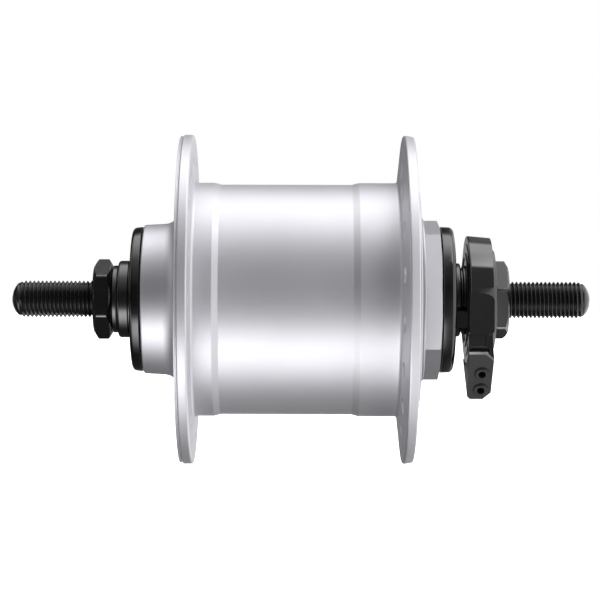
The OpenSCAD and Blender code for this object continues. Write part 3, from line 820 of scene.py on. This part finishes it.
def quarter(x, z, rx, rz, start, steps=8):
    """A quarter of an ellipse round (x, z) from the angle start, in degrees, turning clockwise."""
    angles = [math.radians(start - 90 * k / steps) for k in range(steps + 1)]
    return [(x + rx * math.cos(a), z + rz * math.sin(a)) for a in angles]


def upright(y, z):
    """A point (y, z) of the plug's leaning frame, in the hub's own."""
    c, s = math.cos(PLUG_TILT), math.sin(PLUG_TILT)
    return y * c - z * s, y * s + z * c


def core_low_z():
    """Where the lean block's front meets the plane of the cap's top."""
    return (PLUG_TOP_Z + CORE_Y * math.sin(PLUG_TILT)) / math.cos(PLUG_TILT)


def add_housing():
    rim_x = HOUSING_X1 - 0.9
    disc = rounded([
        (HOUSING_X0, HOUSING_BORE_R, 0.2), (HOUSING_X0, 10.3, 0.15), (HOUSING_X0 - 0.25, 10.5, 0.1),
        (HOUSING_X0 - 0.25, 11.4, 0.1), (HOUSING_X0, 11.6, 0.15), (HOUSING_X0, 13.6, 0.1),
        (HOUSING_X0 + 0.2, 13.8, 0.1), (HOUSING_X0 + 0.2, HOUSING_R, 0.35),
        (rim_x, HOUSING_R - 0.5, 0.15), (rim_x + 0.12, 12.5, 0.2), (HOUSING_X1, 12.0, 0.2),
        (HOUSING_X1, 8.1, 0.2), (HOUSING_X1 - 1.2, 8.1, 0.1), (HOUSING_X1 - 1.2, HOUSING_BORE_R, 0.1),
    ], 6)
    piece = link("connector_body", lathe_mesh("connector_body", disc, 240))
    relief = [(rim_x - 3.2, 0.15 - HOUSING_R), (rim_x + 0.8, 1.0 - HOUSING_R), (rim_x + 0.8, -20),
              (rim_x - 3.2, -20)]
    combine(piece, slab("tool", relief, TAB_LOW_Z, 6.0, UPRIGHT_TURN), "DIFFERENCE")
    top_z = 1.6
    arc_w = 3.1
    foot_r = 0.9
    left_x = HOUSING_X0 + 0.05
    flat = [(left_x, TAB_LOW_Z), (left_x, top_z)]
    flat += quarter(TAB_X1 - arc_w, top_z - 1.7, arc_w, 1.7, 90)
    flat += quarter(TAB_X1 - foot_r, TAB_LOW_Z + foot_r, foot_r, foot_r, 0)
    combine(piece, block("tool", (HOUSING_X0 - 1, -20, -13.5), (TAB_X1 - arc_w, TAB_Y, top_z)), "DIFFERENCE")
    combine(piece, slab("tool", flat, TAB_Y, -6.0), "UNION")
    combine(piece, block("tool", (HOUSING_X0 - 1, -20, -13.5), (NOTCH_X1, CORE_Y, TAB_LOW_Z)), "DIFFERENCE")
    lean_block = [(CORE_Y, TAB_LOW_Z + 0.3), (0, 0), upright(-4, PLUG_TOP_Z), (CORE_Y, core_low_z())]
    combine(piece, slab("tool", lean_block, HOUSING_X0 + 0.05, TAB_X1 - 0.3, AXLE_TURN), "UNION")
    cheek = [(NOTCH_X1, TAB_LOW_Z + 0.3), (TAB_X1 - 0.2, TAB_LOW_Z + 0.3), (TAB_X1 + 0.15, CHEEK_LOW_Z),
             (TAB_X1 - 1.2, CHEEK_LOW_Z + 1.2), (NOTCH_X1, CHEEK_LOW_Z + 1.4)]
    combine(piece, slab("tool", cheek, CORE_Y - 0.5, -8.0), "UNION")
    male = [(HOUSING_X0 + 1.1, -6.5), (HOUSING_X0 + 4.2, -6.5), (HOUSING_X0 + 4.2, -3.9),
            (HOUSING_X0 + 1.1, -3.9)]
    combine(piece, slab("tool", male, -16.3, -13.0, PLUG_TURN), "UNION")
    combine(piece, block("tool", (HOUSING_X0 - 2.7, -11, -6.6), (HOUSING_X0 + 0.5, -7.8, -2.7)), "UNION")
    combine(piece, block("tool", (HOUSING_X0 - 0.5, -1.25, -10), (43.7, 1.25, 0)), "DIFFERENCE")
    break_edges(piece, 0.16, 32, 2)
    shade(piece, 30)
    finish_piece(piece, "axle_set", GLOSS, "connector_housing")


def add_core():
    """The ribbed plate on the front of the lean block, seen in the notch between the tab and the cap."""
    left_x = HOUSING_X0 + 0.1
    low_z = core_low_z() + 0.05
    top_z = TAB_LOW_Z + 0.2
    front_y = CORE_Y - 0.08
    core = [(CORE_Y + 0.6, top_z), (front_y, top_z), (front_y - 0.05, -9.6), (front_y + 0.02, -10.7),
            (front_y - 0.13, -10.85), (front_y - 0.03, -11.3), (front_y - 0.18, -11.45),
            (front_y + 0.1, low_z), (CORE_Y + 0.6, low_z + 0.4)]
    piece = slab("connector_core", core, left_x, NOTCH_X1 - 0.1, AXLE_TURN)
    for proud, x0, x1 in ((0.4, NOTCH_X1 - 0.5, NOTCH_X1 + 0.05), (0.16, left_x - 0.02, left_x + 0.25)):
        rib = [(CORE_Y + 0.5, top_z), (front_y - proud, top_z), (front_y - proud * 0.7, low_z),
               (CORE_Y + 0.5, low_z + 0.35)]
        combine(piece, slab("tool", rib, x0, x1, AXLE_TURN), "UNION")
    break_edges(piece, 0.06, 20, 2)
    shade(piece, 30)
    finish_piece(piece, "axle_set", CORE, "connector_housing")


def lean_x(z):
    """How far the cap's sides and holes lean over at a height."""
    return (z - CAP_TOP_Z) * CAP_LEAN


def add_plug_cap():
    low_x1 = CAP_SIDE_X1 + lean_x(CAP_LOW_Z)
    corner = 1.9
    foot = 0.7
    outline = [
        (CAP_SIDE_X0, CAP_TOP_Z), (CAP_SIDE_X1 - SLANT[0], CAP_TOP_Z), (CAP_SIDE_X1, CAP_TOP_Z - SLANT[1]),
        (low_x1, CAP_LOW_Z + corner), (low_x1 - corner, CAP_LOW_Z), (CAP_SIDE_X0 + foot, CAP_LOW_Z),
        (CAP_SIDE_X0, CAP_LOW_Z + foot),
    ]
    piece = slab("plug_cap_moulded", outline, CAP_Y, -2.0, PLUG_TURN)
    # slot 1 is the pale brow along the cap's top: a painted highlight
    piece.data.materials.append(PLUG)
    piece.data.materials.append(PLUG_BROW_HIGHLIGHT)
    slope = math.tan(math.radians(BROW_TILT))
    above = 0.4 / slope - BROW
    brow = [(CAP_Y - 0.2, -BROW - 0.2 / slope), (CAP_Y + 0.4, above), (CAP_Y - 0.2, above)]
    for angle in (0, math.atan2(SLANT[1], SLANT[0])):
        wedge = slab("tool", brow, -6, 6, AXLE_TURN)
        wedge.data.materials.append(PLUG)
        wedge.data.materials.append(PLUG_BROW_HIGHLIGHT)
        # the wedge's faces take slot 1, the painted highlight of the brow
        for face in wedge.data.polygons:
            face.material_index = 1
        corner_at = Matrix.Translation(Vector((CAP_SIDE_X1 - SLANT[0], 0, CAP_TOP_Z)) * MM)
        wedge.data.transform(PLUG_TURN @ corner_at @ Matrix.Rotation(angle, 4, "Y"))
        combine(piece, wedge, "DIFFERENCE")
    break_edges(piece, 0.12, 20, 3)
    scoop_r = HOUSING_R + 0.3
    low_x, high_x = HOUSING_X0 - 2, HOUSING_X1 + 2
    scoop = [(low_x, 0.01), (low_x, scoop_r), (high_x, scoop_r), (high_x, 0.01)]
    combine(piece, link("tool", lathe_mesh("tool", scoop, 240)), "DIFFERENCE")
    pocket = [(HOUSING_X0 + 0.85, -6.75), (HOUSING_X0 + 4.45, -6.75), (HOUSING_X0 + 4.45, 0),
              (HOUSING_X0 + 0.85, 0)]
    combine(piece, slab("tool", pocket, -16.55, 0, PLUG_TURN), "DIFFERENCE")
    for z in HOLES_Z:
        hole = lathe_mesh("tool", [(-1, 0.01), (-1, 1.45), (2.1, 1.45), (2.1, 0.01)], 40)
        hole.transform(hole_place(z))
        combine(piece, link("tool", hole), "DIFFERENCE")
    shade(piece, BROW_TILT - 1)
    finish_piece(piece, "connector_cap_set", PLUG, "connector_cap")


def hole_place(z):
    """Turns a shape round +X into the wire hole at a height, running into the cap."""
    into = Matrix.Rotation(math.radians(90), 4, "Z")
    at = Matrix.Translation(Vector((HOLE_X + lean_x(z), CAP_Y, z)) * MM)
    return PLUG_TURN @ at @ into


def add_bushes():
    bm = bmesh.new()
    for z in HOLES_Z:
        lip = lathe_mesh("bush", rounded([
            (-0.62, 0.88, 0.16), (-0.62, 1.55, 0.3), (-0.05, 1.85, 0.08), (0.3, 1.42, 0), (2.1, 1.42, 0.1),
            (2.1, 0.88, 0.1),
        ], 5), 48)
        lip.transform(hole_place(z))
        bm.from_mesh(lip)
    mesh = bpy.data.meshes.new("plug_wire_bushes")
    bm.to_mesh(mesh)
    bm.free()
    piece = link("plug_wire_bushes", mesh)
    shade(piece, 35)
    finish_piece(piece, "connector_cap_set", PLUG, "cap_wire_bushes")


# ---------------------------------------------------------------- materials of the CAD nodes that stay

CAD_LOOKS = {
    "right_cone": OXIDE_TURNED, "right_lock_washer": PLATED, "connector_terminals": BRASS,
    "left_stator_nut": PLATED, "stator_washers": PLATED, "left_claw_pole": IRON, "stator_core": IRON,
    "coil_bobbin": NYLON, "coil_winding": COPPER, "right_claw_pole": IRON, "right_stator_nut": PLATED,
    "right_inner_spacer": PLATED, "lead_wires": RED, "end_cap_seal": RUBBER, "magnet_yoke": IRON,
    "rotor_magnets": FERRITE, "left_bearing_cup": BEARING, "right_bearing_cup": BEARING,
    "left_seal_ring": RUBBER, "right_seal_ring": RUBBER, "left_balls": BEARING, "right_balls": BEARING,
    "left_ball_retainer": RETAINER, "right_ball_retainer": RETAINER,
}


def dress_cad_nodes():
    for name, material in CAD_LOOKS.items():
        node = NODES[name]
        node.data.materials.clear()
        node.data.materials.append(material)


# ---------------------------------------------------------------- floor, light and camera

def add_floor():
    """A plain pale floor under the flanges that neither lights nor shades the hub."""
    size = 6.0
    z = cad_box[0].z - 0.0002
    mesh = bpy.data.meshes.new("floor")
    corners = [(-size, -size, z), (size, -size, z), (size, size, z), (-size, size, z)]
    mesh.from_pydata(corners, [], [(0, 1, 2, 3)])
    floor = link("floor", mesh)
    floor.visible_diffuse = False
    floor.visible_glossy = False
    floor.visible_transmission = False
    floor.visible_shadow = False
    look = Look("floor_pale")
    grain = look.noise(8, 3, 0.5)
    look.colour(look.ramp(grain, [(0.0, grey(0.97)), (1.0, grey(1.0))]))
    look.set("Roughness", 0.9)
    look.set("Emission Color", (1.0, 1.0, 1.0, 1.0))
    look.set("Emission Strength", 1.0)
    mesh.materials.append(look.material)


# Radiance of the surroundings by direction round the axle: (degrees up from the front, radiance).
# A long soft light hangs overhead, another lies low in front, and dark card fills the gap between.
STUDIO = [
    (-180, 0.35), (-150, 0.05), (-100, 0.05), (-86, 0.4), (-70, 2.2), (-58, 3.8), (-43, 4.2), (-36, 2.8),
    (-30, 1.0), (-24, 0.25), (-10, 0.07), (20, 0.07), (50, 0.4), (70, 0.75), (80, 1.5), (100, 2.25),
    (121, 1.9), (129, 0.4), (136, 0.05), (155, 0.05), (180, 0.35),
]
# The same towards the right, where the low light ends
STUDIO_RIGHT = [
    (-180, 0.35), (-98, 0.1), (-58, 0.3), (-40, 0.4), (-24, 0.2), (20, 0.05), (50, 0.2), (70, 0.5),
    (82, 1.5), (100, 2.6), (121, 2.0), (130, 0.3), (180, 0.35),
]
# Beyond the right-hand end a third light reaches further down
STUDIO_SIDE = [
    (-180, 0.4), (-95, 0.15), (-70, 0.25), (-40, 0.35), (-20, 0.3), (10, 0.1), (62, 0.1), (66, 4.2),
    (90, 3.2), (122, 1.6), (132, 0.3), (180, 0.4),
]
STUDIO_PEAK = 4.2
STUDIO_LEFT = 0.35         # the share of the light that comes from the left-hand end
STUDIO_FAR_RIGHT = 1.3     # a white wall
STUDIO_TINT = (0.985, 0.985, 1.0, 1.0)
# Where each blend starts and where it is full, as the x of the direction
TO_RIGHT = (0.08, 0.15)
TO_SIDE = (0.18, 0.23)
TO_FAR_RIGHT = (0.28, 0.55)
TO_LEFT = (-0.14, -0.7)


def add_world():
    """Soft studio surroundings: a bright band overhead, one low in front, and darker between."""
    world = bpy.data.worlds.new("studio")
    bpy.context.scene.world = world
    world.use_nodes = True
    tree = world.node_tree
    tree.nodes.clear()

    def add(kind, **settings):
        node = tree.nodes.new(kind)
        for key, value in settings.items():
            setattr(node, key, value)
        return node

    def maths(operation, first, second=None):
        node = add("ShaderNodeMath", operation=operation)
        for socket, value in zip(node.inputs, (first, second)):
            if value is None:
                continue
            if isinstance(value, (int, float)):
                socket.default_value = value
            else:
                tree.links.new(value, socket)
        return node.outputs[0]

    way = add("ShaderNodeSeparateXYZ")
    tree.links.new(add("ShaderNodeTexCoord").outputs["Generated"], way.inputs[0])
    angle = maths("ARCTAN2", way.outputs["Z"], maths("MULTIPLY", way.outputs["Y"], -1.0))
    share = maths("MULTIPLY_ADD", angle, 1 / (2 * math.pi))
    share.node.inputs[2].default_value = 0.5

    def band(stops):
        """The radiance round the axle from a list of (degrees, radiance)."""
        ramp = add("ShaderNodeValToRGB")
        elements = ramp.color_ramp.elements
        while len(elements) < len(stops):
            elements.new(1.0)
        for element, (degrees, radiance) in zip(elements, stops):
            element.position = (degrees + 180) / 360
            element.color = (radiance / STUDIO_PEAK,) * 3 + (1.0,)
        tree.links.new(share, ramp.inputs["Fac"])
        return maths("MULTIPLY", ramp.outputs["Color"], STUDIO_PEAK)

    def towards_end(start, full):
        """0 for directions from the middle to x = start, rising smoothly to 1 at x = full."""
        node = add("ShaderNodeMapRange", interpolation_type="SMOOTHSTEP")
        node.inputs["From Min"].default_value = start
        node.inputs["From Max"].default_value = full
        tree.links.new(way.outputs["X"], node.inputs["Value"])
        return node.outputs["Result"]

    def blend(factor, first, second):
        node = add("ShaderNodeMix", data_type="FLOAT")
        tree.links.new(factor, node.inputs[0])
        tree.links.new(first, node.inputs[2])
        if isinstance(second, float):
            node.inputs[3].default_value = second
        else:
            tree.links.new(second, node.inputs[3])
        return node.outputs[0]

    radiance = blend(towards_end(*TO_RIGHT), band(STUDIO), band(STUDIO_RIGHT))
    radiance = blend(towards_end(*TO_SIDE), radiance, band(STUDIO_SIDE))
    radiance = blend(towards_end(*TO_FAR_RIGHT), radiance, STUDIO_FAR_RIGHT)
    left_share = maths("MULTIPLY", towards_end(*TO_LEFT), STUDIO_LEFT - 1.0)
    radiance = maths("MULTIPLY", radiance, maths("ADD", left_share, 1.0))
    studio = add("ShaderNodeBackground")
    studio.inputs["Color"].default_value = STUDIO_TINT
    tree.links.new(radiance, studio.inputs["Strength"])
    pale = add("ShaderNodeBackground")
    pale.inputs["Color"].default_value = (1.0, 1.0, 1.0, 1.0)
    seen = add("ShaderNodeMixShader")
    tree.links.new(add("ShaderNodeLightPath").outputs["Is Camera Ray"], seen.inputs[0])
    tree.links.new(studio.outputs[0], seen.inputs[1])
    tree.links.new(pale.outputs[0], seen.inputs[2])
    tree.links.new(seen.outputs[0], add("ShaderNodeOutputWorld").inputs["Surface"])


CAMERA_DISTANCE = 0.550
FRAME_WIDTH = 0.14563      # width of the picture at the axle
CAMERA_X = -0.00131
CAMERA_SHIFT_X = 0.0075
CAMERA_SHIFT_Y = -0.0008
CAMERA_ROLL = 0.16         # degrees


def add_camera():
    data = bpy.data.cameras.new("camera")
    camera = bpy.data.objects.new("camera", data)
    bpy.context.scene.collection.objects.link(camera)
    data.sensor_width = 36.0
    data.lens = data.sensor_width * CAMERA_DISTANCE / FRAME_WIDTH
    data.shift_x = CAMERA_SHIFT_X
    data.shift_y = CAMERA_SHIFT_Y
    data.clip_start, data.clip_end = 0.01, 50.0
    camera.location = (CAMERA_X, -CAMERA_DISTANCE, 0.0)
    roll = Matrix.Rotation(math.radians(CAMERA_ROLL), 4, "Z")
    camera.rotation_euler = (Matrix.Rotation(math.radians(90), 4, "X") @ roll).to_euler()
    bpy.context.scene.camera = camera


add_axle()
add_nuts()
add_shell()
add_end_cap()
add_left_cone()
add_left_washer()
add_covers()
add_spacer()
add_housing()
add_core()
add_plug_cap()
add_bushes()
dress_cad_nodes()
add_floor()
add_world()
add_camera()
bpy.context.scene.view_settings.view_transform = "Standard"
